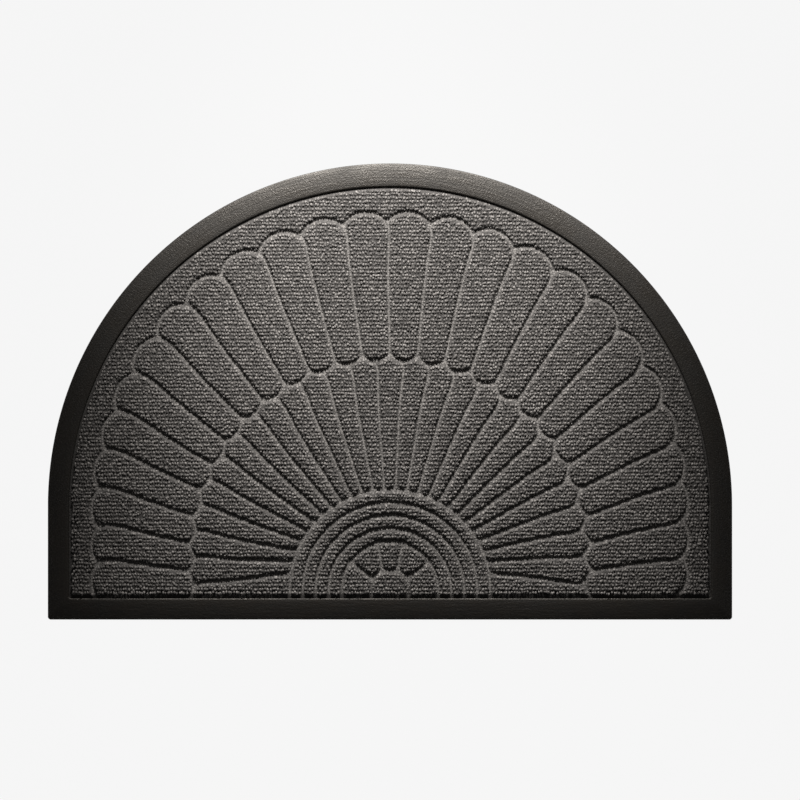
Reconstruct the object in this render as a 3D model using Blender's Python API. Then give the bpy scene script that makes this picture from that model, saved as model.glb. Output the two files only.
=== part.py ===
"""Half-round door mat: a moulded rubber tray that holds a ribbed carpet face pressed with a fan.

The mat lies flat, face up. +X runs across it, +Y towards the top of its arch, and +Z is up.
The origin is under the centre of the outline, on the underside. Lengths are in metres.
"""

import math

import bmesh
import bpy
from mathutils import Vector
from mathutils.geometry import delaunay_2d_cdt

# Outline of the whole mat: a half circle on a straight part
MAT_WIDTH = 0.9144
MAT_DEPTH = 0.6096
BORDER_WIDTH = 0.0285
CORNER_RADIUS = 0.004
ARCH_DROP_PER_INSET = 0.09

# Heights above the floor
EDGE_HEIGHT = 0.002
BORDER_HEIGHT = 0.0055
RECESS_HEIGHT = 0.0025
FACE_HEIGHT = 0.008
GROOVE_FLOOR_HEIGHT = 0.005
BEVEL_WIDTH = 0.012
LIP_WIDTH = 0.0012
GAP = 0.0003

# Pressed fan: two tiers of petals that spread from the middle of the carpet's lower edge
PETALS = 26
GROOVE_WIDTH = 0.0065
CREST_ARCH_RADIUS = 0.3895
CREST_ARCH_DROP = 0.012
CREST_RISE_TOP = 0.0163
CREST_RISE_SIDE = 0.0085
LAST_CREST_RISE = 0.0150
LAST_CREST_INSET = 0.0165
LEAN_ANGLE = math.radians(1.3)
LEAN_START = 11
LEAN_LENGTH = 5
WAIST_ARCH_RADIUS = 0.2694
WAIST_ARCH_DROP = 0.0675
WAIST_DEPTH = 0.0086
WAIST_LEAN = 0.0027
HOOK_BULGE_LEFT = 0.0050
HOOK_LENGTH_LEFT = 0.024
HOOK_BULGE_RIGHT = 0.0030
HOOK_LENGTH_RIGHT = 0.014

# Rings and rosette at the foot of the fan
RINGS = 5
INNER_RING_RADIUS = 0.0642
RING_PITCH = 0.01737
RING_RISE = 0.0116
INNER_PETAL_ANGLE = math.radians(6.43)
ROSETTE_LOW_ANGLE = math.radians(36)
ROSETTE_HIGH_ANGLE = math.radians(75.5)
BUTTON_RADIUS = 0.0285
BUTTON_LOW_ANGLE = math.radians(33)
BUTTON_HIGH_ANGLE = math.radians(69)
BUTTON_CROWN = 0.0258
BUTTON_FOOT = 0.0248

# Steps along the curves
OUTLINE_STEPS = 72
CREST_STEPS = 7
RING_STEPS = 30
CORNER_STEPS = 3

ARCH_CENTRE_Y = MAT_DEPTH / 2 - MAT_WIDTH / 2
FACE_INSET = BORDER_WIDTH + GAP
BASE_Y = FACE_INSET - MAT_DEPTH / 2
RING_CENTRE = Vector((0, BASE_Y + RING_RISE))


def clear_scene():
    for scene_object in list(bpy.data.objects):
        bpy.data.objects.remove(scene_object)


def material(name, colour, roughness):
    finish = bpy.data.materials.new(name)
    finish.use_nodes = True
    shader = finish.node_tree.nodes["Principled BSDF"]
    shader.inputs["Base Color"].default_value = (*colour, 1)
    shader.inputs["Roughness"].default_value = roughness
    shader.inputs["Metallic"].default_value = 0
    return finish


def place_object(name, mesh_builder, finish):
    mesh = bpy.data.meshes.new(name)
    mesh_builder.to_mesh(mesh)
    mesh_builder.free()
    mesh.materials.append(finish)
    piece = bpy.data.objects.new(name, mesh)
    bpy.context.scene.collection.objects.link(piece)
    return piece


def outline(inset):
    """Points of the outline moved in by inset, from the left corner over the arch to the right one.

    The arch moves in a little more at its top, so the border is widest there.
    """
    radius = MAT_WIDTH / 2 - inset
    foot = inset - MAT_DEPTH / 2
    centre_y = ARCH_CENTRE_Y - ARCH_DROP_PER_INSET * inset
    points = []
    for step in range(CORNER_STEPS + 1):
        turn = math.radians(270 - 90 * step / CORNER_STEPS)
        x = CORNER_RADIUS * math.cos(turn) + CORNER_RADIUS - radius
        points.append(Vector((x, foot + CORNER_RADIUS * (1 + math.sin(turn)))))
    for step in range(OUTLINE_STEPS + 1):
        turn = math.pi * (1 - step / OUTLINE_STEPS)
        points.append(Vector((radius * math.cos(turn), centre_y + radius * math.sin(turn))))
    for step in range(CORNER_STEPS + 1):
        turn = math.radians(-90 * step / CORNER_STEPS)
        x = CORNER_RADIUS * math.cos(turn) + radius - CORNER_RADIUS
        points.append(Vector((x, foot + CORNER_RADIUS * (1 + math.sin(turn)))))
    return points


def point_on_crest_arch(angle):
    """Where a ray from the fan's foot, at this angle from the left, meets the arch of the petal tips."""
    across = -math.cos(angle)
    up = math.sin(angle)
    centre_rise = ARCH_CENTRE_Y - CREST_ARCH_DROP - BASE_Y
    reach = CREST_ARCH_RADIUS / max(abs(across), 1e-6)
    if reach * up > centre_rise:
        half = up * centre_rise
        reach = half + math.sqrt(half * half + CREST_ARCH_RADIUS**2 - centre_rise**2)
    return Vector((reach * across, BASE_Y + reach * up))


def point_on_waist_arch(length, inward):
    """A point this far along the arch between the two tiers, moved in towards the fan's foot."""
    centre_y = ARCH_CENTRE_Y - WAIST_ARCH_DROP
    leg = centre_y - BASE_Y
    turn = (length - leg) / WAIST_ARCH_RADIUS
    radius = WAIST_ARCH_RADIUS - inward
    if turn < 0:
        return Vector((-radius, BASE_Y + length))
    if turn > math.pi:
        return Vector((radius, centre_y - (turn - math.pi) * WAIST_ARCH_RADIUS))
    return Vector((-radius * math.cos(turn), centre_y + radius * math.sin(turn)))


def petal_valleys():
    """The notches between neighbouring petal tips. Those on the right lean towards the middle."""
    valleys = []
    for index in range(PETALS):
        lean = LEAN_ANGLE * lean_share(index)
        valleys.append(point_on_crest_arch(math.pi * index / PETALS - lean))
    valleys.append(Vector((CREST_ARCH_RADIUS - LAST_CREST_INSET, BASE_Y)))
    return valleys


def waist_points():
    """Peaks where the outer grooves end, and the notches between them where the inner ones start."""
    total = math.pi * WAIST_ARCH_RADIUS + 2 * (ARCH_CENTRE_Y - WAIST_ARCH_DROP - BASE_Y)
    pitch = total / PETALS
    peaks = [point_on_waist_arch(index * pitch, 0) for index in range(PETALS + 1)]
    notches = [
        point_on_waist_arch((index + 0.5) * pitch - WAIST_LEAN, WAIST_DEPTH)
        for index in range(PETALS)
    ]
    return peaks, notches


def crest(start, end, rise):
    """A round petal tip: an arc from start to end that rises above its chord, to the left of it."""
    chord = end - start
    half = chord.length / 2
    radius = (half * half + rise * rise) / (2 * rise)
    outward = Vector((-chord.y, chord.x)).normalized()
    centre = (start + end) / 2 - outward * (radius - rise)
    sweep = math.asin(half / radius)
    along = chord.normalized()
    points = []
    for step in range(CREST_STEPS + 1):
        turn = sweep * (2 * step / CREST_STEPS - 1)
        points.append(centre + radius * (math.sin(turn) * along + math.cos(turn) * outward))
    return [start, *points[1:-1], end]


def lean_share(index):
    """How far a petal is on its way from the upright left side, 0, to the leaning right side, 1."""
    return min(max((index - LEAN_START) / LEAN_LENGTH, 0), 1)


def hooked_groove(start, end, index):
    """A groove that leaves a petal's notch on a bend and then runs almost straight to its end."""
    share = lean_share(index + LEAN_LENGTH)
    bulge = HOOK_BULGE_LEFT + (HOOK_BULGE_RIGHT - HOOK_BULGE_LEFT) * share
    length = HOOK_LENGTH_LEFT + (HOOK_LENGTH_RIGHT - HOOK_LENGTH_LEFT) * share
    run = end - start
    right = Vector((-run.y, run.x)).normalized()
    points = [start]
    for lengths in (0.5, 1.0, 2.0, 3.5):
        offset = bulge * lengths * math.exp(1 - lengths)
        points.append(start + run.normalized() * lengths * length + right * offset)
    return [*points, end]


def ring(radius, angles):
    """Points of a ring at these angles from its top, with both ends on the carpet's lower edge."""
    foot = math.sqrt(radius**2 - RING_RISE**2)
    points = [
        RING_CENTRE + radius * Vector((math.sin(angle), math.cos(angle))) for angle in angles
    ]
    return [Vector((-foot, BASE_Y)), *points, Vector((foot, BASE_Y))]


def rosette():
    """The grooves inside the smallest ring: three wedges round a button."""
    lines = []
    for side in (-1, 1):
        low = Vector((side * math.cos(ROSETTE_LOW_ANGLE), math.sin(ROSETTE_LOW_ANGLE)))
        high = Vector((side * math.cos(ROSETTE_HIGH_ANGLE), math.sin(ROSETTE_HIGH_ANGLE)))
        elbow = Vector((side * math.cos(BUTTON_LOW_ANGLE), math.sin(BUTTON_LOW_ANGLE)))
        shoulder = Vector((side * math.cos(BUTTON_HIGH_ANGLE), math.sin(BUTTON_HIGH_ANGLE)))
        elbow = RING_CENTRE + BUTTON_RADIUS * elbow
        shoulder = RING_CENTRE + BUTTON_RADIUS * shoulder
        lines.append([RING_CENTRE + INNER_RING_RADIUS * low, elbow])
        lines.append([RING_CENTRE + INNER_RING_RADIUS * high, shoulder])
        lines.append([elbow, shoulder, RING_CENTRE + Vector((0, BUTTON_CROWN))])
        lines.append([elbow, Vector((side * BUTTON_FOOT, BASE_Y))])
    return lines


def smallest_ring_angles():
    """Angles from the top at which the smallest ring has points, with the wedges' corners among them."""
    corners = [math.pi / 2 - ROSETTE_LOW_ANGLE, math.pi / 2 - ROSETTE_HIGH_ANGLE]
    low, high = corners
    half = [high / 2, high, (high + low) / 2, low, (low + math.pi / 2) / 2, math.pi / 2]
    half.insert(3, high + (low - high) * 0.75)
    half.insert(2, high + (low - high) * 0.25)
    return sorted([-angle for angle in half] + [0.0] + half)


def fan_lines():
    """Every groove of the pressed fan, each as a list of points seen from above."""
    valleys = petal_valleys()
    peaks, notches = waist_points()
    lines = []
    for index in range(PETALS):
        height = (valleys[index].y + valleys[index + 1].y) / 2 - BASE_Y
        share = min(height / CREST_ARCH_RADIUS, 1) ** 2
        rise = CREST_RISE_SIDE + (CREST_RISE_TOP - CREST_RISE_SIDE) * share
        if index == PETALS - 1:
            rise = LAST_CREST_RISE
        lines.append(crest(valleys[index], valleys[index + 1], rise))
        lines.append([peaks[index], notches[index], peaks[index + 1]])
        if index:
            lines.append(hooked_groove(valleys[index], peaks[index], index))
    inner_angles = [(index + 0.5 - PETALS / 2) * INNER_PETAL_ANGLE for index in range(PETALS)]
    outer_ring_radius = INNER_RING_RADIUS + RING_PITCH * (RINGS - 1)
    for index, angle in enumerate(inner_angles):
        end = RING_CENTRE + outer_ring_radius * Vector((math.sin(angle), math.cos(angle)))
        lines.append(hooked_groove(notches[index], end, PETALS))
    even_angles = [math.pi * (step / RING_STEPS - 0.5) for step in range(RING_STEPS + 1)]
    for index in range(RINGS):
        angles = even_angles
        if index == 0:
            angles = smallest_ring_angles()
        if index == RINGS - 1:
            angles = inner_angles
        lines.append(ring(INNER_RING_RADIUS + RING_PITCH * index, angles))
    return lines + rosette()


def fan_cells(lines, rim):
    """The flat network of cells that the grooves and the rim bound, as points and faces."""
    points = list(rim)
    edges = [(index, (index + 1) % len(rim)) for index in range(len(rim))]
    for line in lines:
        first = len(points)
        points.extend(line)
        edges.extend((first + step, first + step + 1) for step in range(len(line) - 1))
    cells_between_edges = 3
    merge_distance = 1e-6
    network = delaunay_2d_cdt(points, edges, [], cells_between_edges, merge_distance)
    return network[0], network[2]


def make_carpet_face():
    """The carpet, one sheet: cells stand up between V grooves, and its rim is pressed down."""
    points, faces = fan_cells(fan_lines(), outline(FACE_INSET))
    sheet = bmesh.new()
    corners = [sheet.verts.new((point.x, point.y, GROOVE_FLOOR_HEIGHT)) for point in points]
    cells = [sheet.faces.new([corners[index] for index in face]) for face in faces]
    sheet.normal_update()
    for cell in cells:
        if cell.normal.z < 0:
            cell.normal_flip()
    bmesh.ops.inset_individual(
        sheet,
        faces=cells,
        thickness=GROOVE_WIDTH / 2,
        depth=FACE_HEIGHT - GROOVE_FLOOR_HEIGHT,
        use_even_offset=True,
    )
    rim_edges = [edge for edge in sheet.edges if edge.is_boundary]
    walls = bmesh.ops.extrude_edge_only(sheet, edges=rim_edges)["geom"]
    for part in walls:
        if isinstance(part, bmesh.types.BMVert):
            part.co.z = RECESS_HEIGHT + GAP
    bottom_edges = [edge for edge in sheet.edges if edge.is_boundary]
    bmesh.ops.edgeloop_fill(sheet, edges=bottom_edges)
    bmesh.ops.recalc_face_normals(sheet, faces=sheet.faces)
    return place_object("carpet_face", sheet, material("charcoal_carpet", (0.11, 0.10, 0.095), 0.95))


def make_rubber_backing():
    """The tray under the carpet: a thin base and a raised border that slopes down outward."""
    profile = [
        (0, 0),
        (0, EDGE_HEIGHT),
        (BEVEL_WIDTH, BORDER_HEIGHT),
        (BORDER_WIDTH - LIP_WIDTH, BORDER_HEIGHT),
        (BORDER_WIDTH, BORDER_HEIGHT - LIP_WIDTH),
        (BORDER_WIDTH, RECESS_HEIGHT),
    ]
    tray = bmesh.new()
    loops = []
    for inset, height in profile:
        loops.append([tray.verts.new((point.x, point.y, height)) for point in outline(inset)])
    for low, high in zip(loops, loops[1:]):
        for index in range(len(low)):
            after = (index + 1) % len(low)
            tray.faces.new((low[index], low[after], high[after], high[index]))
    tray.faces.new(loops[0])
    tray.faces.new(loops[-1])
    bmesh.ops.recalc_face_normals(tray, faces=tray.faces)
    return place_object("rubber_backing", tray, material("black_rubber", (0.02, 0.02, 0.02), 0.6))


def main():
    clear_scene()
    make_rubber_backing()
    make_carpet_face()


main()
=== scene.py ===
"""Half-round door mat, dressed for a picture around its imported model.

A rubber tray with a sloping border holds one sheet of charcoal loop carpet, pressed with a fan of
petals. Run as a script, this builds every piece, the stage and the camera. Lengths are in metres.
"""

import math

import bmesh
import bpy
import numpy as np
from bpy.props import FloatProperty, FloatVectorProperty, PointerProperty
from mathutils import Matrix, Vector
from mathutils.geometry import delaunay_2d_cdt
from mathutils.kdtree import KDTree


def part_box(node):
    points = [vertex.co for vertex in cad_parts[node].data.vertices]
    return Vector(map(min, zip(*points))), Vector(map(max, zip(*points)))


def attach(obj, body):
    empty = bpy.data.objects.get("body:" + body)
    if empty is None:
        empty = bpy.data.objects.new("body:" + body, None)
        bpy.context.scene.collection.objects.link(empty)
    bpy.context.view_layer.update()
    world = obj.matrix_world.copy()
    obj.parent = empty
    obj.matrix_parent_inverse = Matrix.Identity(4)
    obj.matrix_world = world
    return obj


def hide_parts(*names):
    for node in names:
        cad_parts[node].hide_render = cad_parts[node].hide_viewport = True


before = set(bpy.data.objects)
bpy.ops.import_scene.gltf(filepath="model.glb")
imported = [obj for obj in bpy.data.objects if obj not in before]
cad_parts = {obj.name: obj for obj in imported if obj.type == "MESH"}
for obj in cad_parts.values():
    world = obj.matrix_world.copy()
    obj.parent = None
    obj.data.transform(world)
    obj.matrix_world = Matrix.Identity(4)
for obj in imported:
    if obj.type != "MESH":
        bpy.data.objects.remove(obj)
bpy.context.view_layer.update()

bl_info = {
    "name": "Half-Round Door Mat",
    "version": (1, 0, 0),
    "blender": (4, 5, 0),
    "location": "3D View > Sidebar > Door Mat",
    "description": "Builds a half-round door mat: a rubber tray and a loop carpet pressed with a fan",
    "category": "Add Mesh",
}

TRAY_LOW, TRAY_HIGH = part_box("rubber_backing")
FACE_LOW, FACE_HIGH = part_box("carpet_face")
MAT_WIDTH = TRAY_HIGH.x - TRAY_LOW.x
MAT_DEPTH = TRAY_HIGH.y - TRAY_LOW.y
FACE_INSET = (MAT_WIDTH - (FACE_HIGH.x - FACE_LOW.x)) / 2
CARPET_UNDERSIDE = FACE_LOW.z

# Outline: a half circle on a straight part, whose arch moves in a little more at its top
CORNER_RADIUS = 0.004
ARCH_DROP_PER_INSET = 0.09
ARCH_CENTRE_Y = MAT_DEPTH / 2 - MAT_WIDTH / 2
BASE_Y = FACE_INSET - MAT_DEPTH / 2

# Pressed fan: two tiers of petals that spread from the middle of the carpet's lower edge
PETALS = 26
CREST_ARCH_RADIUS = 0.3895
CREST_ARCH_DROP = 0.012
CREST_RISE_TOP = 0.0163
CREST_RISE_SIDE = 0.0085
LAST_CREST_RISE = 0.0150
LAST_CREST_INSET = 0.0165
LEAN_ANGLE = math.radians(1.3)
LEAN_START = 11
LEAN_LENGTH = 5
WAIST_ARCH_RADIUS = 0.2694
WAIST_ARCH_DROP = 0.0675
WAIST_DEPTH = 0.0086
WAIST_LEAN = 0.0027
BOWL_SAG = 0.5
BOWL_EASE = 0.2
BOWL_STEPS = 10
HOOK_BULGE_LEFT = 0.0050
HOOK_LENGTH_LEFT = 0.024
HOOK_BULGE_RIGHT = 0.0030
HOOK_LENGTH_RIGHT = 0.014

# Rings and rosette at the foot of the fan
RINGS = 5
INNER_RING_RADIUS = 0.0642
RING_PITCH = 0.01737
RING_CENTRE = Vector((0, BASE_Y + 0.0116))
INNER_PETAL_ANGLE = math.radians(6.43)
ROSETTE_LOW_ANGLE = math.radians(36)
ROSETTE_HIGH_ANGLE = math.radians(75.5)
BUTTON_RADIUS = 0.0285
BUTTON_LOW_ANGLE = math.radians(33)
BUTTON_HIGH_ANGLE = math.radians(69)
BUTTON_CROWN = 0.0258
BUTTON_FOOT = 0.0248

# Spacing of points along the grooves and across the carpet's plain parts
GROOVE_STEP = 0.003
FIELD_STEP = 0.007
OUTLINE_STEPS = 180
SHEET_RIM_STEPS = 300
CORNER_STEPS = 6

# Distances from a groove's middle, and from the rim, at which the carpet sheet has points
GROOVE_OFFSETS = (0.0012, 0.0020, 0.0027, 0.0034, 0.0042, 0.0050, 0.0070)
RIM_OFFSETS = (0.0010, 0.0024, 0.0032, 0.0041, 0.0052, 0.0066)

# How near the sheet's points may come to a groove's middle and to the rim
OFFSET_SLACK = 2e-5
BESIDE_RIM_CLEAR = 0.0008
FIELD_RIM_CLEAR = 0.0085
FIELD_CLEAR_SHARE = 1.4
EDGE_LINE_CLEAR = 0.0006

# Profile of a groove, from its floor over its curved wall to the swell of a petal, and of the low rim
FLOOR_HALF = 0.0006
WALL_WIDTH = 0.0040
WALL_SKEW = 1.5
WALL_SHARE = 0.62
SWELL_WIDTH = 0.0105
SWELL_POWER = 2.0
CORNER_BLEND = 0.0060
RIM_HEIGHT = 0.0031
RIM_STRIP = 0.0026
RIM_CLIMB = 0.0026
RIM_SLANT = 0.0003
SHEET_SHARP_ANGLE = math.radians(60)

# How far the sheet's fibres are fused smooth, 1, or not, 0, at these distances from a groove's middle;
# where they are not, the sheet has its dark painted-shade colour
PRESSED_DISTANCES = (0.0006, 0.0015, 0.0030, 0.0045)
PRESSED_SHARES = (1, 0.24, 0.07, 0)
# Near the rim the fused fibres stop, so the rim strip keeps the sheet's dark painted-shade colour
PRESSED_RIM_START = 0.0040
PRESSED_RIM_WIDTH = 0.0010

# Loops: the seed for what varies among them, how far they stray from their rows, and how they
# shrink beside a groove and the rim
CHANCE_SEED = 26
ROW_WANDER = 0.00035
WANDER_RATE = 31
WANDER_SHIFT = 1.7
LOOP_STRAY = (0.00056, 0.00060)
LEFT_OUT_SHARE = 0.30
LEAST_CLEAR_SHARE = 0.8
LOOP_RIM = 0.0034
GROWN_START = -0.0008
GROWN_WIDTH = 0.0034
RIM_GROWN_START = 0.0026
RIM_GROWN_WIDTH = 0.0030
LEAST_GROWN = 0.56
CROWDED_START = 0.0004
CROWDED_ROWS = 0.45
LEAST_CROWDED = 0.64

# Shape of one loop: rings of points, as shares of its half length and of its height
LOOP_SIDES = 6
LOOP_RINGS = ((0.80, 0.0), (1.0, 0.42), (0.66, 0.86))
LOOP_LENGTH_SHARE = 0.46
LOOP_WIDTH_SHARE = 0.45
LENGTH_SPREAD = (0.80, 1.20)
WIDTH_SPREAD = (0.80, 1.16)
HEIGHT_SPREAD = (0.62, 1.06)
LOOP_TURN = math.radians(9)
LOOP_RUFFLE = 0.10
LOOP_LEAN = 0.00022
LOOP_SUNK = 0.0004
SLOPE_STEP = 0.0004
STEEPEST_SLOPE = 0.7

# Rubber tray: distance in from the outline and height, from the underside over the border to the recess
TRAY_PROFILE = (
    (0.0000, 0.0000), (0.0000, 0.0012), (0.0002, 0.0017), (0.0007, 0.0021), (0.0020, 0.0025),
    (0.0050, 0.0032), (0.0085, 0.0039), (0.0125, 0.0045), (0.0175, 0.0051), (0.0225, 0.0055),
    (0.0268, 0.0056), (0.0277, 0.0055), (0.0282, 0.0052), (0.0285, 0.0046), (0.0285, 0.0025),
)
TRAY_SHARP_ANGLE = math.radians(50)

# Stage: the picture's frame, and spot lamps past the top of the arch by name, place, target, angle of
# the cone and softness of its edge
PIXEL = MAT_WIDTH / 684
PICTURE_CENTRE = Vector((10 * PIXEL, -8.5 * PIXEL))
PICTURE_WIDTH = 800 * PIXEL
CAMERA_LENS = 100
FLOOR_SIZE = 80
LAMPS = (
    ("key", (-0.04, 1.11, 0.53), (0.004, -0.045, 0), math.radians(44.5), 0.95),
    ("left", (-0.20, 1.06, 0.53), (-0.21, 0.17, 0), math.radians(22), 1),
    ("right", (0.28, 1.06, 0.53), (0.26, 0.14, 0), math.radians(22), 1),
)
LAMP_RADIUS = 0.12
LAMP_COLOUR = (1.0, 0.97, 0.94)


class MatSizes(bpy.types.PropertyGroup):
    """Sizes of the loop pile and of the pressed grooves."""

    row_pitch: FloatProperty(
        name="Row pitch", description="From one row of loops to the next",
        default=0.00492, min=0.003, max=0.01, unit="LENGTH", precision=5,
    )
    loop_pitch: FloatProperty(
        name="Loop pitch", description="From one loop to the next along a row",
        default=0.0035, min=0.002, max=0.01, unit="LENGTH", precision=5,
    )
    loop_height: FloatProperty(
        name="Loop height", description="How far a loop stands above the sheet",
        default=0.0018, min=0.0005, max=0.004, unit="LENGTH", precision=5,
    )
    sheet_top: FloatProperty(
        name="Sheet top", description="Height of the sheet between the loops, above the floor",
        default=0.0067, min=0.004, max=0.008, unit="LENGTH", precision=5,
    )
    groove_floor: FloatProperty(
        name="Groove floor", description="Height of the pressed grooves above the floor",
        default=0.0040, min=0.003, max=0.006, unit="LENGTH", precision=5,
    )
    groove_clear: FloatProperty(
        name="Bare strip", description="How far the nearest loops stand from a groove's middle",
        default=0.0012, min=0.001, max=0.006, unit="LENGTH", precision=5,
    )


class MatColours(bpy.types.PropertyGroup):
    """Colours of the carpet's fibres and of the rubber."""

    dark_fibre: FloatVectorProperty(
        name="Dark fibre", description="The darkest fibres of the heather mix",
        default=(0.030, 0.027, 0.025), subtype="COLOR", min=0, max=1,
    )
    light_fibre: FloatVectorProperty(
        name="Light fibre", description="The lightest fibres of the heather mix",
        default=(0.33, 0.313, 0.297), subtype="COLOR", min=0, max=1,
    )
    pressed_fibre: FloatVectorProperty(
        name="Pressed fibre", description="Fibres fused smooth in the grooves",
        default=(0.210, 0.200, 0.190), subtype="COLOR", min=0, max=1,
    )
    rubber: FloatVectorProperty(
        name="Rubber", description="The tray's black rubber",
        default=(0.0075, 0.0070, 0.0066), subtype="COLOR", min=0, max=1,
    )


class StudioLook(bpy.types.PropertyGroup):
    """The floor and the lights of the picture."""

    floor: FloatVectorProperty(
        name="Floor", description="The pale floor",
        default=(0.917, 0.917, 0.917), subtype="COLOR", min=0, max=1,
    )
    key_power: FloatProperty(
        name="Key light", description="Strength of the lamp past the top of the arch",
        default=139, min=0, max=2000, unit="POWER",
    )
    left_power: FloatProperty(
        name="Left light", description="Strength of the lamp to the left of the key light",
        default=31, min=0, max=2000, unit="POWER",
    )
    right_power: FloatProperty(
        name="Right light", description="Strength of the lamp to the right of the key light",
        default=40, min=0, max=2000, unit="POWER",
    )
    fill_strength: FloatProperty(
        name="Fill", description="Strength of the even light from all round",
        default=0.035, min=0, max=5,
    )


# Outline and grooves, seen from above


def outline(inset, arch_steps=OUTLINE_STEPS, corner_steps=CORNER_STEPS):
    """Points of the outline moved in by inset, from the left corner over the arch to the right one."""
    radius = MAT_WIDTH / 2 - inset
    foot = inset - MAT_DEPTH / 2
    centre_y = ARCH_CENTRE_Y - ARCH_DROP_PER_INSET * inset
    points = []
    for step in range(corner_steps + 1):
        turn = math.radians(270 - 90 * step / corner_steps)
        x = CORNER_RADIUS * math.cos(turn) + CORNER_RADIUS - radius
        points.append(Vector((x, foot + CORNER_RADIUS * (1 + math.sin(turn)))))
    for step in range(arch_steps + 1):
        turn = math.pi * (1 - step / arch_steps)
        points.append(Vector((radius * math.cos(turn), centre_y + radius * math.sin(turn))))
    for step in range(corner_steps + 1):
        turn = math.radians(-90 * step / corner_steps)
        x = CORNER_RADIUS * math.cos(turn) + radius - CORNER_RADIUS
        points.append(Vector((x, foot + CORNER_RADIUS * (1 + math.sin(turn)))))
    return points


def outline_lengths(points):
    """How far each point is along the outline from its first point."""
    lengths = [0.0]
    for start, end in zip(points, points[1:]):
        lengths.append(lengths[-1] + (end - start).length)
    return lengths


def point_on_crest_arch(angle):
    """Where a ray from the fan's foot, at this angle from the left, meets the arch of the petal tips."""
    across = -math.cos(angle)
    up = math.sin(angle)
    centre_rise = ARCH_CENTRE_Y - CREST_ARCH_DROP - BASE_Y
    reach = CREST_ARCH_RADIUS / max(abs(across), 1e-6)
    if reach * up > centre_rise:
        half = up * centre_rise
        reach = half + math.sqrt(half * half + CREST_ARCH_RADIUS**2 - centre_rise**2)
    return Vector((reach * across, BASE_Y + reach * up))


def point_on_waist_arch(length, inward):
    """A point this far along the arch between the two tiers, moved in towards the fan's foot."""
    centre_y = ARCH_CENTRE_Y - WAIST_ARCH_DROP
    leg = centre_y - BASE_Y
    turn = (length - leg) / WAIST_ARCH_RADIUS
    radius = WAIST_ARCH_RADIUS - inward
    if turn < 0:
        return Vector((-radius, BASE_Y + length))
    if turn > math.pi:
        return Vector((radius, centre_y - (turn - math.pi) * WAIST_ARCH_RADIUS))
    return Vector((-radius * math.cos(turn), centre_y + radius * math.sin(turn)))


def lean_share(index):
    """How far a petal is on its way from the upright left side, 0, to the leaning right side, 1."""
    return min(max((index - LEAN_START) / LEAN_LENGTH, 0), 1)


def petal_valleys():
    """The notches between neighbouring petal tips. Those on the right lean towards the middle."""
    valleys = []
    for index in range(PETALS):
        lean = LEAN_ANGLE * lean_share(index)
        valleys.append(point_on_crest_arch(math.pi * index / PETALS - lean))
    valleys.append(Vector((CREST_ARCH_RADIUS - LAST_CREST_INSET, BASE_Y)))
    return valleys


def waist_points():
    """Peaks where the outer grooves end, and the notches between them where the inner ones start."""
    total = math.pi * WAIST_ARCH_RADIUS + 2 * (ARCH_CENTRE_Y - WAIST_ARCH_DROP - BASE_Y)
    pitch = total / PETALS
    peaks = [point_on_waist_arch(index * pitch, 0) for index in range(PETALS + 1)]
    notches = [
        point_on_waist_arch((index + 0.5) * pitch - WAIST_LEAN, WAIST_DEPTH)
        for index in range(PETALS)
    ]
    return peaks, notches


def crest(start, end, rise):
    """A round petal tip: an arc from start to end that rises above its chord, to the left of it."""
    chord = end - start
    half = chord.length / 2
    radius = (half * half + rise * rise) / (2 * rise)
    outward = Vector((-chord.y, chord.x)).normalized()
    centre = (start + end) / 2 - outward * (radius - rise)
    sweep = math.asin(half / radius)
    along = chord.normalized()
    steps = math.ceil(chord.length / GROOVE_STEP)
    points = []
    for step in range(steps + 1):
        turn = sweep * (2 * step / steps - 1)
        points.append(centre + radius * (math.sin(turn) * along + math.cos(turn) * outward))
    return [start, *points[1:-1], end]


def hooked_groove(start, end, index):
    """A groove that leaves a petal's notch on a bend and then runs almost straight to its end."""
    share = lean_share(index + LEAN_LENGTH)
    bulge = HOOK_BULGE_LEFT + (HOOK_BULGE_RIGHT - HOOK_BULGE_LEFT) * share
    length = HOOK_LENGTH_LEFT + (HOOK_LENGTH_RIGHT - HOOK_LENGTH_LEFT) * share
    run = end - start
    right = Vector((-run.y, run.x)).normalized()
    steps = math.ceil(run.length / GROOVE_STEP)
    points = []
    for step in range(steps + 1):
        lengths = run.length * step / steps / length
        offset = bulge * lengths * math.exp(1 - lengths)
        points.append(start + run * step / steps + right * offset)
    return [*points[:-1], end]


def ring(radius):
    """Points of a ring, with both ends on the carpet's lower edge."""
    rise = RING_CENTRE.y - BASE_Y
    low = -math.asin(rise / radius)
    steps = math.ceil((math.pi - 2 * low) * radius / GROOVE_STEP)
    points = []
    for step in range(steps + 1):
        turn = low + (math.pi - 2 * low) * step / steps
        points.append(RING_CENTRE + radius * Vector((-math.cos(turn), math.sin(turn))))
    return points


def rosette():
    """The grooves inside the smallest ring: the sides of three wedges, the button and its two feet."""
    wedges = []
    button = []
    feet = []
    for side in (-1, 1):
        low = Vector((side * math.cos(ROSETTE_LOW_ANGLE), math.sin(ROSETTE_LOW_ANGLE)))
        high = Vector((side * math.cos(ROSETTE_HIGH_ANGLE), math.sin(ROSETTE_HIGH_ANGLE)))
        elbow = Vector((side * math.cos(BUTTON_LOW_ANGLE), math.sin(BUTTON_LOW_ANGLE)))
        shoulder = Vector((side * math.cos(BUTTON_HIGH_ANGLE), math.sin(BUTTON_HIGH_ANGLE)))
        elbow = RING_CENTRE + BUTTON_RADIUS * elbow
        shoulder = RING_CENTRE + BUTTON_RADIUS * shoulder
        wedges.append([RING_CENTRE + INNER_RING_RADIUS * low, elbow])
        wedges.append([RING_CENTRE + INNER_RING_RADIUS * high, shoulder])
        button.append([elbow, shoulder, RING_CENTRE + Vector((0, BUTTON_CROWN))])
        feet.append([elbow, Vector((side * BUTTON_FOOT, BASE_Y))])
    return wedges, button, feet


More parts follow.
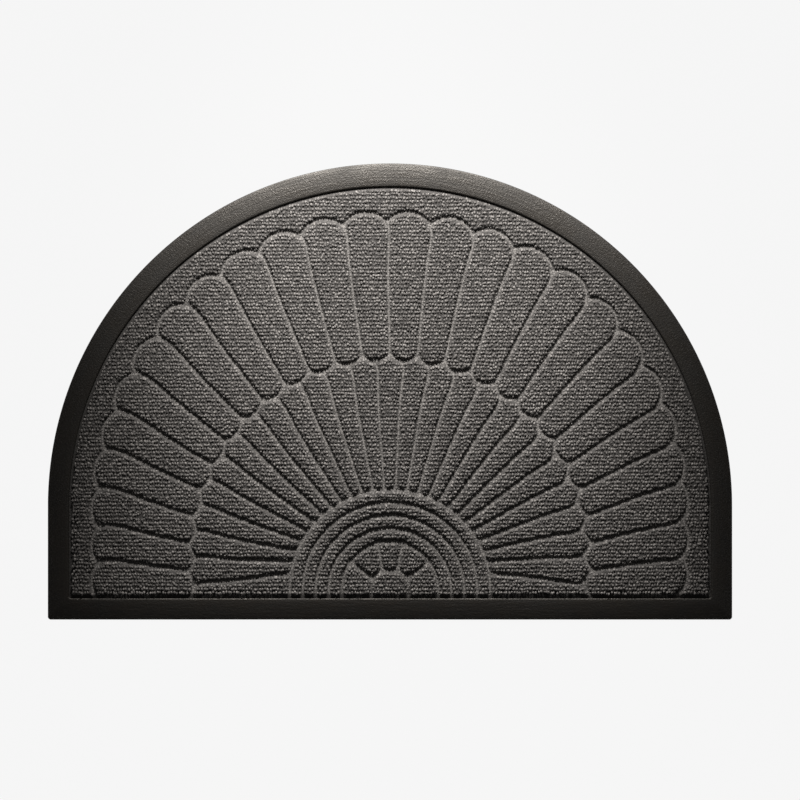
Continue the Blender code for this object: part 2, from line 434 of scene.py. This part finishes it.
def bowl(left, notch, right, round_share):
    """The round foot of an outer petal, from one waist peak to the next, in a left and a right half."""
    sag = notch + (notch - (left + right) / 2) * BOWL_SAG
    reach = 1 - BOWL_EASE * round_share
    first = left + (sag - left) * reach
    last = right + (sag - right) * reach
    points = []
    for step in range(BOWL_STEPS + 1):
        share = step / BOWL_STEPS
        rest = 1 - share
        start = left * rest**3 + first * 3 * rest**2 * share
        points.append(start + last * 3 * rest * share**2 + right * share**3)
    half = BOWL_STEPS // 2
    return points[: half + 1], points[half:]


def fan_lines():
    """Every groove of the pressed fan, seen from above, in five families.

    Grooves that meet at a corner are in different families, so that the corner can be rounded.
    """
    valleys = petal_valleys()
    peaks, notches = waist_points()
    outer_ring_radius = INNER_RING_RADIUS + RING_PITCH * (RINGS - 1)
    crests = ([], [])
    waist = ([], [])
    spokes = []
    for index in range(PETALS):
        height = (valleys[index].y + valleys[index + 1].y) / 2 - BASE_Y
        share = min(height / CREST_ARCH_RADIUS, 1) ** 2
        rise = CREST_RISE_SIDE + (CREST_RISE_TOP - CREST_RISE_SIDE) * share
        if index == PETALS - 1:
            rise = LAST_CREST_RISE
        crests[index % 2].append(crest(valleys[index], valleys[index + 1], rise))
        left, right = bowl(peaks[index], notches[index], peaks[index + 1], 1 - lean_share(index))
        waist[0].append(left)
        waist[1].append(right)
        if index:
            spokes.append(hooked_groove(valleys[index], peaks[index], index))
        angle = (index + 0.5 - PETALS / 2) * INNER_PETAL_ANGLE
        end = RING_CENTRE + outer_ring_radius * Vector((math.sin(angle), math.cos(angle)))
        spokes.append(hooked_groove(left[-1], end, PETALS))
    for index in range(RINGS):
        crests[index % 2].append(ring(INNER_RING_RADIUS + RING_PITCH * index))
    wedges, button, feet = rosette()
    left_sides = waist[0] + wedges[::2]
    right_sides = waist[1] + wedges[1::2]
    return crests[0], crests[1] + button, left_sides, right_sides, spokes + feet


# Height of the carpet sheet, from the distance to the nearest groove and to its rim


class LineFinder:
    """Finds how far points lie from a set of lines, by samples spaced closely along them."""

    SAMPLE_STEP = 0.0006

    def __init__(self, lines):
        samples = []
        runs = []
        for line in lines:
            for start, end in zip(line, line[1:]):
                run = end - start
                steps = max(1, math.ceil(run.length / self.SAMPLE_STEP))
                for step in range(steps + 1):
                    samples.append(start + run * (step / steps))
                    runs.append(run.normalized())
        self.samples = np.array(samples)
        self.runs = np.array(runs)
        self.tree = KDTree(len(samples))
        for index, sample in enumerate(samples):
            self.tree.insert((sample.x, sample.y, 0), index)
        self.tree.balance()

    def away(self, points):
        """The direction from the nearest line to each point."""
        nearest = np.array([self.tree.find((x, y, 0))[1] for x, y in points])
        off = points - self.samples[nearest]
        return off / np.maximum(np.linalg.norm(off, axis=1), 1e-6)[:, None]

    def distance(self, points):
        """Distance of each point to the nearest line."""
        nearest = np.array([self.tree.find((x, y, 0))[1] for x, y in points])
        off = points - self.samples[nearest]
        run = self.runs[nearest]
        along = np.clip(np.einsum("ij,ij->i", off, run), -self.SAMPLE_STEP / 2, self.SAMPLE_STEP / 2)
        return np.linalg.norm(off - along[:, None] * run, axis=1)


class CarpetShape:
    """The carpet's grooves and rim, and the height of its sheet at any point."""

    def __init__(self, sizes):
        families = fan_lines()
        self.lines = [line for family in families for line in family]
        self.rim = outline(FACE_INSET)
        self.families = [LineFinder(family) for family in families]
        self.edge = LineFinder([[*self.rim, self.rim[0]]])
        self.floor = sizes.groove_floor
        self.top = sizes.sheet_top

    def line_distance(self, points):
        """Distance of each point to the nearest groove's middle."""
        return np.min([family.distance(points) for family in self.families], axis=0)

    def groove_distance(self, points):
        """The same distance, a little less in the corners where two grooves meet, so they are round."""
        distances = np.sort([family.distance(points) for family in self.families], axis=0)
        near = np.clip(1 - (distances[1] - distances[0]) / CORNER_BLEND, 0, 1)
        return np.maximum(distances[0] - near * near * CORNER_BLEND / 4, 0)

    def push_away(self, points, clear):
        """Moves points that are nearer than clear to a groove's middle out to that distance."""
        for family in self.families:
            distance = family.distance(points)
            push = np.clip(clear - distance, 0, None)
            points = points + family.away(points) * push[:, None]
        return points

    def rim_distance(self, points):
        """Distance of each point to the carpet's rim."""
        return self.edge.distance(points)

    def inside(self, points):
        """Which points lie within the rim."""
        radius = MAT_WIDTH / 2 - FACE_INSET
        centre_y = ARCH_CENTRE_Y - ARCH_DROP_PER_INSET * FACE_INSET
        over = np.hypot(points[:, 0], np.maximum(points[:, 1] - centre_y, 0)) < radius
        return over & (points[:, 1] > BASE_Y)

    def height(self, groove, rim):
        """Height of the sheet at these distances from the nearest groove and from the rim."""
        climbed = np.clip((groove - FLOOR_HALF) / WALL_WIDTH, 0, 1) ** WALL_SKEW
        wall = (1 - np.cos(math.pi * climbed)) / 2
        swell = 1 - (1 - np.clip(groove / SWELL_WIDTH, 0, 1)) ** SWELL_POWER
        rise = (self.top - self.floor) * (WALL_SHARE * wall + (1 - WALL_SHARE) * swell)
        height = self.floor + rise
        climb = np.clip((rim - RIM_STRIP) / RIM_CLIMB, 0, 1)
        low = RIM_HEIGHT + RIM_SLANT * np.clip(rim / RIM_STRIP, 0, 1)
        return low + (height - low) * climb * climb * (3 - 2 * climb)


def sheet_points(shape):
    """Points of the carpet sheet: along each groove, beside it, and spread over the plain parts."""
    beside = []
    for line in shape.lines:
        for start, end in zip(line, line[1:]):
            run = end - start
            side = Vector((-run.y, run.x)).normalized()
            steps = max(1, round(run.length / GROOVE_STEP))
            for step in range(steps):
                middle = start + run * ((step + 0.5) / steps)
                for offset in GROOVE_OFFSETS:
                    beside.append((*(middle + side * offset), offset))
                    beside.append((*(middle - side * offset), offset))
    beside = np.array(beside)
    near = shape.line_distance(beside[:, :2])
    rim_near = shape.rim_distance(beside[:, :2])
    clear = (near > beside[:, 2] - OFFSET_SLACK) & (rim_near > BESIDE_RIM_CLEAR)
    beside = beside[clear & shape.inside(beside[:, :2]), :2]

    across = np.arange(-MAT_WIDTH / 2, MAT_WIDTH / 2, FIELD_STEP)
    along = np.arange(BASE_Y, MAT_DEPTH / 2, FIELD_STEP)
    field = np.stack(np.meshgrid(across, along), -1).reshape(-1, 2)
    wide = GROOVE_OFFSETS[-1] * FIELD_CLEAR_SHARE
    clear = (shape.line_distance(field) > wide) & (shape.rim_distance(field) > FIELD_RIM_CLEAR)
    field = field[clear & shape.inside(field)]

    edge = []
    for inset in RIM_OFFSETS:
        edge.extend(outline(FACE_INSET + inset, SHEET_RIM_STEPS))
    edge = np.array(edge)
    edge = edge[shape.line_distance(edge) > EDGE_LINE_CLEAR]
    return np.concatenate([beside, field, edge])


def link_mesh(name, mesh, material):
    """A new object with this mesh and material."""
    mesh.materials.append(material)
    piece = bpy.data.objects.new(name, mesh)
    bpy.context.scene.collection.objects.link(piece)
    return piece


def store_values(mesh, name, values):
    """A number for each point of the mesh, which its material reads by name."""
    attribute = mesh.attributes.new(name, "FLOAT", "POINT")
    attribute.data.foreach_set("value", np.asarray(values, np.float32))


def make_carpet_sheet(shape, material):
    """The carpet's closed sheet: a relief of grooves and petals, a rim and a flat underside."""
    points = [Vector(point) for point in shape.rim]
    count = len(points)
    edges = [(index, (index + 1) % count) for index in range(count)]
    for line in shape.lines:
        first = len(points)
        points.extend(line)
        edges.extend((first + step, first + step + 1) for step in range(len(line) - 1))
    points.extend(Vector(point) for point in sheet_points(shape))
    triangles_inside_rim = 1
    merge_distance = 1e-5
    flat, _, faces, *_ = delaunay_2d_cdt(points, edges, [], triangles_inside_rim, merge_distance)
    flat = np.array([tuple(point) for point in flat])
    groove = shape.groove_distance(flat)
    rim = shape.rim_distance(flat)
    heights = shape.height(groove, rim)

    sheet = bmesh.new()
    corners = [sheet.verts.new((x, y, z)) for (x, y), z in zip(flat, heights)]
    for face in faces:
        sheet.faces.new([corners[index] for index in face])
    loose = [corner for corner in sheet.verts if not corner.link_faces]
    bmesh.ops.delete(sheet, geom=loose, context="VERTS")
    rim_edges = [edge for edge in sheet.edges if edge.is_boundary]
    walls = bmesh.ops.extrude_edge_only(sheet, edges=rim_edges)["geom"]
    for part in walls:
        if isinstance(part, bmesh.types.BMVert):
            part.co.z = CARPET_UNDERSIDE
    bottom_edges = [edge for edge in sheet.edges if edge.is_boundary]
    bmesh.ops.edgeloop_fill(sheet, edges=bottom_edges)
    bmesh.ops.recalc_face_normals(sheet, faces=sheet.faces)
    mesh = bpy.data.meshes.new("carpet_sheet")
    sheet.to_mesh(mesh)
    sheet.free()
    mesh.shade_smooth()
    mesh.set_sharp_from_angle(angle=SHEET_SHARP_ANGLE)
    places = np.zeros(len(mesh.vertices) * 3)
    mesh.vertices.foreach_get("co", places)
    places = places.reshape(-1, 3)
    groove = shape.groove_distance(places[:, :2])
    rim = shape.rim_distance(places[:, :2])
    pressed = np.interp(groove, PRESSED_DISTANCES, PRESSED_SHARES)
    # Painted shade: fused fibres stop short of the rim, so the rim strip stays dark
    pressed *= np.clip((rim - PRESSED_RIM_START) / PRESSED_RIM_WIDTH, 0, 1)
    store_values(mesh, "pressed", pressed)
    return link_mesh("carpet_sheet", mesh, material)


# Loops of the pile


def loop_template():
    """One loop as a low bean: rings of points, a top point, and faces that close it."""
    points = []
    for radius, height in LOOP_RINGS:
        for side in range(LOOP_SIDES):
            turn = 2 * math.pi * side / LOOP_SIDES
            points.append((radius * math.cos(turn), radius * math.sin(turn), height))
    points.append((0, 0, 1))
    top = len(points) - 1
    faces = []
    for level in range(len(LOOP_RINGS) - 1):
        for side in range(LOOP_SIDES):
            low = level * LOOP_SIDES + side
            after = level * LOOP_SIDES + (side + 1) % LOOP_SIDES
            faces.append((low, after, after + LOOP_SIDES))
            faces.append((low, after + LOOP_SIDES, low + LOOP_SIDES))
    last = (len(LOOP_RINGS) - 1) * LOOP_SIDES
    for side in range(LOOP_SIDES):
        faces.append((last + side, last + (side + 1) % LOOP_SIDES, top))
    for side in range(1, LOOP_SIDES - 1):
        faces.append((0, side + 1, side))
    return np.array(points), np.array(faces)


def loop_places(shape, sizes, chance):
    """Where the loops stand: rows across the mat, each loop a little off its place.

    Loops on the middle of a groove are left out, and those beside it are pushed to its sides.
    """
    rows = np.arange(BASE_Y + 0.5 * sizes.row_pitch, MAT_DEPTH / 2, sizes.row_pitch)
    places = []
    for number, row in enumerate(rows):
        start = -MAT_WIDTH / 2 + chance.uniform(0, sizes.loop_pitch)
        across = np.arange(start, MAT_WIDTH / 2, sizes.loop_pitch)
        wander = ROW_WANDER * np.sin(across * WANDER_RATE + number * WANDER_SHIFT)
        places.append(np.stack([across, row + wander], -1))
    places = np.concatenate(places)
    places += chance.normal(0, 1, places.shape) * np.array(LOOP_STRAY)
    left_out = shape.line_distance(places) < sizes.groove_clear * LEFT_OUT_SHARE
    places = shape.push_away(places[~left_out], sizes.groove_clear)
    groove = shape.groove_distance(places)
    rim = shape.rim_distance(places)
    least_clear = LEAST_CLEAR_SHARE * sizes.groove_clear
    keep = shape.inside(places) & (shape.line_distance(places) > least_clear)
    keep &= rim > LOOP_RIM
    return places[keep], groove[keep], rim[keep]


def make_loops(name, shape, sizes, places, groove, rim, chance, material):
    """One joined mesh of loops that follow the sheet's height and slope."""
    template, faces = loop_template()
    count = len(places)
    base = shape.height(groove, rim)
    slopes = []
    for shift in ((SLOPE_STEP, 0), (0, SLOPE_STEP)):
        moved = places + shift
        there = shape.height(shape.groove_distance(moved), shape.rim_distance(moved))
        slopes.append(np.clip((there - base) / SLOPE_STEP, -STEEPEST_SLOPE, STEEPEST_SLOPE))
    by_groove = (groove - GROWN_START) / GROWN_WIDTH
    by_rim = (rim - RIM_GROWN_START) / RIM_GROWN_WIDTH
    grown = np.clip(np.minimum(by_groove, by_rim), LEAST_GROWN, 1)
    crowded = (groove - CROWDED_START) / (sizes.row_pitch * CROWDED_ROWS)
    crowded = np.clip(crowded, LEAST_CROWDED, 1)
    half_length = sizes.loop_pitch * LOOP_LENGTH_SHARE * chance.uniform(*LENGTH_SPREAD, count)
    half_length = half_length * crowded
    half_width = sizes.row_pitch * LOOP_WIDTH_SHARE * chance.uniform(*WIDTH_SPREAD, count) * crowded
    tall = sizes.loop_height * grown * chance.uniform(*HEIGHT_SPREAD, count)
    turn = chance.normal(0, LOOP_TURN, count)
    ruffle = 1 + LOOP_RUFFLE * chance.normal(0, 1, (count, len(template)))
    x = template[None, :, 0] * half_length[:, None] * ruffle
    y = template[None, :, 1] * half_width[:, None] * ruffle
    across = x * np.cos(turn)[:, None] - y * np.sin(turn)[:, None]
    along = x * np.sin(turn)[:, None] + y * np.cos(turn)[:, None]
    lean = chance.normal(0, LOOP_LEAN, (count, 2))
    up = template[None, :, 2] * tall[:, None] - LOOP_SUNK
    height = base[:, None] + up + slopes[0][:, None] * across + slopes[1][:, None] * along
    across = across + lean[:, :1] * template[None, :, 2]
    along = along + lean[:, 1:] * template[None, :, 2]
    points = np.stack([places[:, :1] + across, places[:, 1:] + along, height], -1)
    triangles = faces[None] + (np.arange(count) * len(template))[:, None, None]
    mesh = bpy.data.meshes.new(name)
    mesh.from_pydata(points.reshape(-1, 3), [], triangles.reshape(-1, 3))
    mesh.shade_smooth()
    tone = np.repeat(chance.uniform(0, 1, count), len(template))
    store_values(mesh, "tone", tone)
    return link_mesh(name, mesh, material)


# Rubber tray


def make_tray(material):
    """The rubber moulding: a round-edged sloping border and a flat recess under the carpet."""
    tray = bmesh.new()
    loops = []
    for inset, height in TRAY_PROFILE:
        loops.append([tray.verts.new((point.x, point.y, height)) for point in outline(inset)])
    lengths = outline_lengths(outline(0))
    for low, high in zip(loops, loops[1:]):
        for index in range(len(low)):
            after = (index + 1) % len(low)
            tray.faces.new((low[index], low[after], high[after], high[index]))
    tray.faces.new(loops[0])
    tray.faces.new(loops[-1])
    bmesh.ops.recalc_face_normals(tray, faces=tray.faces)
    mesh = bpy.data.meshes.new("rubber_tray")
    tray.to_mesh(mesh)
    tray.free()
    mesh.shade_smooth()
    mesh.set_sharp_from_angle(angle=TRAY_SHARP_ANGLE)
    store_values(mesh, "along", np.tile(lengths, len(TRAY_PROFILE)))
    store_values(mesh, "inset", np.repeat([inset for inset, _ in TRAY_PROFILE], len(lengths)))
    on_border = [0, *[1] * (len(TRAY_PROFILE) - 2), 0]
    store_values(mesh, "border", np.repeat(on_border, len(lengths)))
    return link_mesh("rubber_tray", mesh, material)


# Materials


class Finish:
    """A node material with short ways to add and join its nodes."""

    def __init__(self, name, roughness):
        self.material = bpy.data.materials.new(name)
        self.material.use_nodes = True
        self.tree = self.material.node_tree
        self.shader = self.tree.nodes["Principled BSDF"]
        self.shader.inputs["Roughness"].default_value = roughness
        self.place = self.tree.nodes.new("ShaderNodeTexCoord").outputs["Object"]

    def join(self, source, target):
        self.tree.links.new(source, target)

    def turned(self, angle):
        """Places on the piece, turned about the upright axis."""
        mapping = self.tree.nodes.new("ShaderNodeMapping")
        mapping.inputs["Rotation"].default_value = (0, 0, angle)
        self.join(self.place, mapping.inputs["Vector"])
        return mapping.outputs["Vector"]

    def noise(self, scale, detail=2.0, stretch=(1, 1, 1), place=None):
        """Cloudy noise with this many clouds in a metre, narrower where stretch is above 1."""
        mapping = self.tree.nodes.new("ShaderNodeMapping")
        mapping.inputs["Scale"].default_value = stretch
        self.join(place or self.place, mapping.inputs["Vector"])
        node = self.tree.nodes.new("ShaderNodeTexNoise")
        node.inputs["Scale"].default_value = scale
        node.inputs["Detail"].default_value = detail
        self.join(mapping.outputs["Vector"], node.inputs["Vector"])
        return node.outputs["Fac"]

    def spread(self, source, low, high, to_low=0.0, to_high=1.0):
        """Maps the span from low to high onto another span, and holds it there."""
        node = self.tree.nodes.new("ShaderNodeMapRange")
        self.join(source, node.inputs["Value"])
        spans = {"From Min": low, "From Max": high, "To Min": to_low, "To Max": to_high}
        for socket, value in spans.items():
            node.inputs[socket].default_value = value
        return node.outputs["Result"]

    def math(self, operation, first, second):
        node = self.tree.nodes.new("ShaderNodeMath")
        node.operation = operation
        for socket, value in zip(node.inputs, (first, second)):
            if isinstance(value, (int, float)):
                socket.default_value = value
            else:
                self.join(value, socket)
        return node.outputs["Value"]

    def mix(self, share, first, second, blend="MIX"):
        """Mixes two colours, each a socket or three numbers."""
        node = self.tree.nodes.new("ShaderNodeMix")
        node.data_type = "RGBA"
        node.blend_type = blend
        if isinstance(share, (int, float)):
            node.inputs["Factor"].default_value = share
        else:
            self.join(share, node.inputs["Factor"])
        for socket, colour in ((node.inputs[6], first), (node.inputs[7], second)):
            if isinstance(colour, bpy.types.NodeSocket):
                self.join(colour, socket)
            else:
                socket.default_value = (*colour, 1)
        return node.outputs[2]

    def value(self, name):
        node = self.tree.nodes.new("ShaderNodeAttribute")
        node.attribute_name = name
        return node.outputs["Fac"]

    def bump(self, height, distance, strength=1.0):
        node = self.tree.nodes.new("ShaderNodeBump")
        node.inputs["Distance"].default_value = distance
        node.inputs["Strength"].default_value = strength
        self.join(height, node.inputs["Height"])
        self.join(node.outputs["Normal"], self.shader.inputs["Normal"])


def loop_pile_finish(colours):
    """Heather loops: dark and light fibres, each loop a little lighter or darker than the next."""
    finish = Finish("heather_loops", 0.85)
    patches = finish.noise(520, 2.0)
    fibres = finish.noise(2400, 2.0, (1, 2.2, 1))
    patches = finish.math("MULTIPLY", patches, 0.6)
    blend = finish.math("ADD", patches, finish.math("MULTIPLY", fibres, 0.4))
    share = finish.spread(blend, 0.41, 0.60)
    tone = finish.value("tone")
    share = finish.math("ADD", share, finish.spread(tone, 0, 1, -0.30, 0.30))
    share = finish.spread(share, 0.0, 1.15)
    colour = finish.mix(share, tuple(colours.dark_fibre), tuple(colours.light_fibre))
    finish.join(colour, finish.shader.inputs["Base Color"])
    finish.bump(fibres, 0.0004, 0.8)
    finish.shader.inputs["Sheen Weight"].default_value = 0.15
    finish.shader.inputs["Sheen Roughness"].default_value = 0.5
    return finish.material


def pressed_sheet_finish(colours):
    """The sheet: lighter smooth fused fibres in the grooves; between the loops, on the groove walls and
    along the rim, a dark fibre mix that is painted shade.
    """
    finish = Finish("pressed_carpet", 0.8)
    mottle = finish.noise(430, 3.0)
    fibres = finish.noise(2600, 2.0, (1.6, 1, 1))
    smooth = finish.mix(
        finish.spread(mottle, 0.38, 0.62), tuple(c * 0.42 for c in colours.pressed_fibre),
        tuple(c * 1.75 for c in colours.pressed_fibre),
    )
    # Painted shade: a dark mix of fibres for the sheet between the loops, on the groove walls and along
    # the rim, where shade falls.
    painted_shade_sheet = finish.mix(
        finish.spread(fibres, 0.38, 0.62), tuple(colours.dark_fibre),
        tuple(c * 0.42 for c in colours.pressed_fibre),
    )
    finish.join(finish.mix(finish.value("pressed"), painted_shade_sheet, smooth), finish.shader.inputs["Base Color"])
    finish.bump(finish.math("ADD", fibres, finish.math("MULTIPLY", mottle, 3.0)), 0.0004, 0.8)
    return finish.material


def rubber_finish(colours):
    """Black moulded rubber: a fine hatched grain, faint streaks along the border and dusty patches."""
    finish = Finish("black_rubber", 0.6)
    dust = finish.noise(24, 4.0)
    position = finish.tree.nodes.new("ShaderNodeCombineXYZ")
    finish.join(finish.value("along"), position.inputs["X"])
    finish.join(finish.value("inset"), position.inputs["Y"])
    streaks = finish.noise(16, 3.0, (1, 22, 1), position.outputs["Vector"])
    streaks = finish.math("MULTIPLY", streaks, finish.value("border"))
    hatch = finish.noise(340, 2.0, (1, 2.6, 1), finish.turned(math.radians(38)))
    cross = finish.noise(340, 2.0, (1, 2.6, 1), finish.turned(math.radians(-38)))
    grain = finish.math("ADD", hatch, cross)
    wear = finish.math("ADD", finish.math("MULTIPLY", streaks, 0.5), finish.math("MULTIPLY", dust, 0.5))
    worn = tuple(c * share for c, share in zip(colours.rubber, (3.2, 3.0, 2.7)))
    colour = finish.mix(finish.spread(wear, 0.40, 0.62), tuple(colours.rubber), worn)
    finish.join(colour, finish.shader.inputs["Base Color"])
    finish.join(finish.spread(wear, 0.38, 0.62, 0.61, 0.41), finish.shader.inputs["Roughness"])
    finish.shader.inputs["Specular IOR Level"].default_value = 0.75
    finish.shader.inputs["Specular Tint"].default_value = (1, 0.96, 0.90, 1)
    finish.bump(finish.math("ADD", grain, finish.math("MULTIPLY", streaks, 0.8)), 0.0006, 0.7)
    return finish.material


def floor_finish(look):
    """The pale floor: mostly even light of its own, so that only a faint shadow shows."""
    finish = Finish("pale_floor", 0.9)
    finish.shader.inputs["Base Color"].default_value = (0.012, 0.012, 0.012, 1)
    finish.shader.inputs["Specular IOR Level"].default_value = 0
    finish.shader.inputs["Emission Color"].default_value = (*look.floor, 1)
    finish.shader.inputs["Emission Strength"].default_value = 1.0
    finish.material.cycles.emission_sampling = "NONE"
    return finish.material


# Parts of the carpet

ZONES = (
    "loops_margin", "loops_outer_left", "loops_outer_right", "loops_inner_left", "loops_inner_right",
    "loops_rings",
)


def loop_zones(places):
    """Which part of the fan each loop stands in."""
    crest_y = ARCH_CENTRE_Y - CREST_ARCH_DROP
    waist_y = ARCH_CENTRE_Y - WAIST_ARCH_DROP
    tip = CREST_ARCH_RADIUS + CREST_RISE_SIDE / 2
    from_crest = np.hypot(places[:, 0], np.maximum(places[:, 1] - crest_y, 0))
    from_waist = np.hypot(places[:, 0], np.maximum(places[:, 1] - waist_y, 0))
    from_rings = np.hypot(places[:, 0] - RING_CENTRE.x, places[:, 1] - RING_CENTRE.y)
    zones = np.where(places[:, 0] < 0, 1, 2)
    zones[from_crest > tip] = 0
    zones[from_waist < WAIST_ARCH_RADIUS - WAIST_DEPTH / 2] += 2
    zones[from_rings < INNER_RING_RADIUS + RING_PITCH * (RINGS - 1)] = 5
    return zones


# Lamps and camera


def add_lamp(name, power, place, target, cone, blend):
    """A soft-edged spot lamp that points from its place to its target."""
    data = bpy.data.lights.new(name, "SPOT")
    data.energy = power
    data.color = LAMP_COLOUR
    data.shadow_soft_size = LAMP_RADIUS
    data.spot_size = cone
    data.spot_blend = blend
    data.cycles.use_multiple_importance_sampling = False
    lamp = bpy.data.objects.new(name, data)
    lamp.location = place
    lamp.rotation_euler = (Vector(target) - Vector(place)).to_track_quat("-Z", "Y").to_euler()
    bpy.context.scene.collection.objects.link(lamp)
    return lamp


def add_camera(scene):
    """A long lens straight above, framed as in the picture."""
    data = bpy.data.cameras.new("camera")
    data.lens = CAMERA_LENS
    camera = bpy.data.objects.new("camera", data)
    distance = PICTURE_WIDTH * CAMERA_LENS / data.sensor_width
    camera.location = (PICTURE_CENTRE.x, PICTURE_CENTRE.y, distance)
    scene.collection.objects.link(camera)
    scene.camera = camera


# Operators


class DOORMAT_OT_rubber_tray(bpy.types.Operator):
    """Make the black rubber tray with its sloping border."""

    bl_idname = "doormat.rubber_tray"
    bl_label = "Rubber Tray"

    def execute(self, context):
        tray = make_tray(rubber_finish(context.scene.mat_colours))
        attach(tray, "root")
        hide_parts("rubber_backing")
        return {"FINISHED"}


class DOORMAT_OT_carpet(bpy.types.Operator):
    """Make the carpet sheet with its pressed fan, and the rows of loops on it."""

    bl_idname = "doormat.carpet"
    bl_label = "Carpet Sheet and Loops"

    def execute(self, context):
        sizes = context.scene.mat_sizes
        colours = context.scene.mat_colours
        shape = CarpetShape(sizes)
        sheet = make_carpet_sheet(shape, pressed_sheet_finish(colours))
        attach(sheet, "root")
        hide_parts("carpet_face")
        chance = np.random.default_rng(CHANCE_SEED)
        places, groove, rim = loop_places(shape, sizes, chance)
        finish = loop_pile_finish(colours)
        zones = loop_zones(places)
        for zone, name in enumerate(ZONES):
            chosen = zones == zone
            piece = make_loops(
                name, shape, sizes, places[chosen], groove[chosen], rim[chosen], chance, finish
            )
            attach(piece, "root")
        return {"FINISHED"}


class DOORMAT_OT_stage(bpy.types.Operator):
    """Lay the pale floor, hang the lights and set the camera straight above the mat."""

    bl_idname = "doormat.stage"
    bl_label = "Stage"

    def execute(self, context):
        look = context.scene.studio_look
        scene = context.scene
        bpy.ops.mesh.primitive_plane_add(size=FLOOR_SIZE)
        floor = context.object
        floor.name = "floor"
        floor.data.materials.append(floor_finish(look))
        for name, *settings in LAMPS:
            add_lamp(f"{name}_lamp", getattr(look, f"{name}_power"), *settings)
        world = bpy.data.worlds.new("studio_air")
        world.use_nodes = True
        world.node_tree.nodes["Background"].inputs["Color"].default_value = (1, 0.99, 0.98, 1)
        world.node_tree.nodes["Background"].inputs["Strength"].default_value = look.fill_strength
        scene.world = world
        scene.view_settings.view_transform = "Standard"
        add_camera(scene)
        return {"FINISHED"}


class DOORMAT_PT_panel(bpy.types.Panel):
    """The mat's pieces, in the order in which they are made."""

    bl_label = "Door Mat"
    bl_space_type = "VIEW_3D"
    bl_region_type = "UI"
    bl_category = "Door Mat"

    def draw(self, context):
        for operator in OPERATORS:
            self.layout.operator(operator.bl_idname)
        for group in (context.scene.mat_sizes, context.scene.mat_colours, context.scene.studio_look):
            box = self.layout.box()
            for name in group.__annotations__:
                box.prop(group, name)


GROUPS = {"mat_sizes": MatSizes, "mat_colours": MatColours, "studio_look": StudioLook}
OPERATORS = (DOORMAT_OT_rubber_tray, DOORMAT_OT_carpet, DOORMAT_OT_stage)


def register():
    for name, group in GROUPS.items():
        bpy.utils.register_class(group)
        setattr(bpy.types.Scene, name, PointerProperty(type=group))
    for operator in OPERATORS:
        bpy.utils.register_class(operator)
    bpy.utils.register_class(DOORMAT_PT_panel)


def unregister():
    bpy.utils.unregister_class(DOORMAT_PT_panel)
    for operator in reversed(OPERATORS):
        bpy.utils.unregister_class(operator)
    for name, group in GROUPS.items():
        delattr(bpy.types.Scene, name)
        bpy.utils.unregister_class(group)


def main():
    register()
    bpy.ops.doormat.rubber_tray()
    bpy.ops.doormat.carpet()
    bpy.ops.doormat.stage()


if __name__ == "__main__":
    main()
